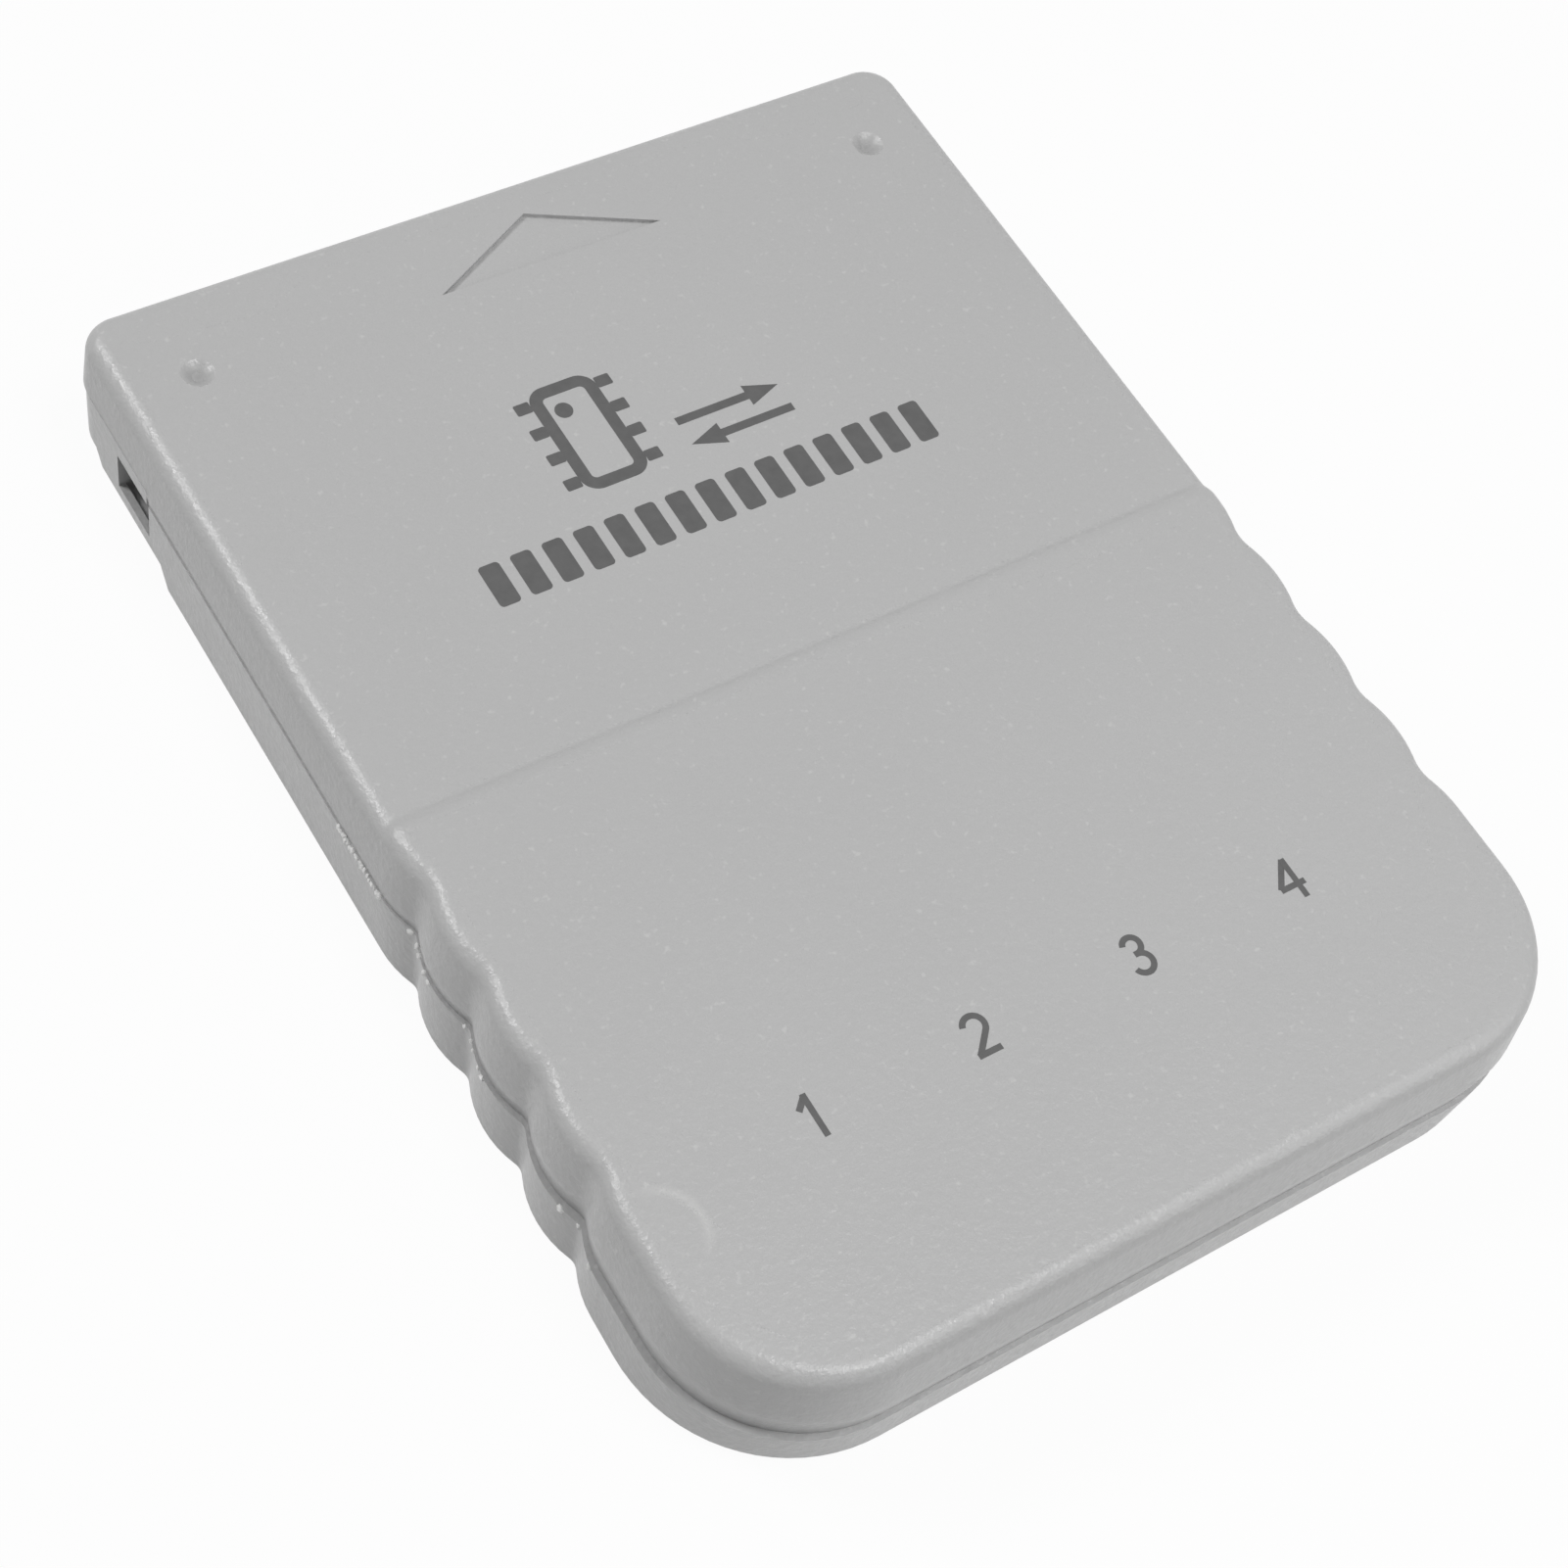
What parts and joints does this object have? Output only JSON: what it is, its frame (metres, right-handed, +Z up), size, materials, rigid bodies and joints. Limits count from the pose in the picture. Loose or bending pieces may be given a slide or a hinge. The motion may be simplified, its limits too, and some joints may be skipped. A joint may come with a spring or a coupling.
{
  "type": "console memory card",
  "caption": "Flat moulded plastic memory card with a raised scalloped grip, a plain end that slides into a console slot, latch notches, contact bays under the nose and a circuit board inside.",
  "frame": {"origin": "middle of the card's length and width on the plane that it lies on", "axes": "+Y along the card towards the end that goes into the slot, +Z up out of the printed face, +X across to the right seen from above with +Y ahead"},
  "size_m": [0.043, 0.0576, 0.008],
  "materials": {
    "grey_abs": "fine spark-eroded matte",
    "board_laminate": "solder mask over glass laminate",
    "gold_plate": "gold flash",
    "chip_epoxy": "matte moulded",
    "tinned_lead": "tin plate",
    "chip_ceramic": "fired ceramic",
    "lamp_resin": "clear resin"
  },
  "bodies": {
    "root": {"upper_shell": "grey_abs", "lower_shell": "grey_abs", "circuit_board": "board_laminate", "edge_contacts": "gold_plate", "memory_chip": "chip_epoxy", "memory_leads": "tinned_lead", "controller_chip": "chip_epoxy", "controller_leads": "tinned_lead", "regulator": "chip_epoxy", "regulator_leads": "tinned_lead", "resonator": "chip_ceramic", "capacitor_1": "chip_ceramic", "capacitor_2": "chip_ceramic", "capacitor_3": "chip_ceramic", "lamp_1": "lamp_resin", "lamp_2": "lamp_resin", "lamp_3": "lamp_resin", "lamp_4": "lamp_resin", "resistor_1": "chip_epoxy", "resistor_2": "chip_epoxy", "resistor_3": "chip_epoxy", "resistor_4": "chip_epoxy"}
  },
  "joints": []
}
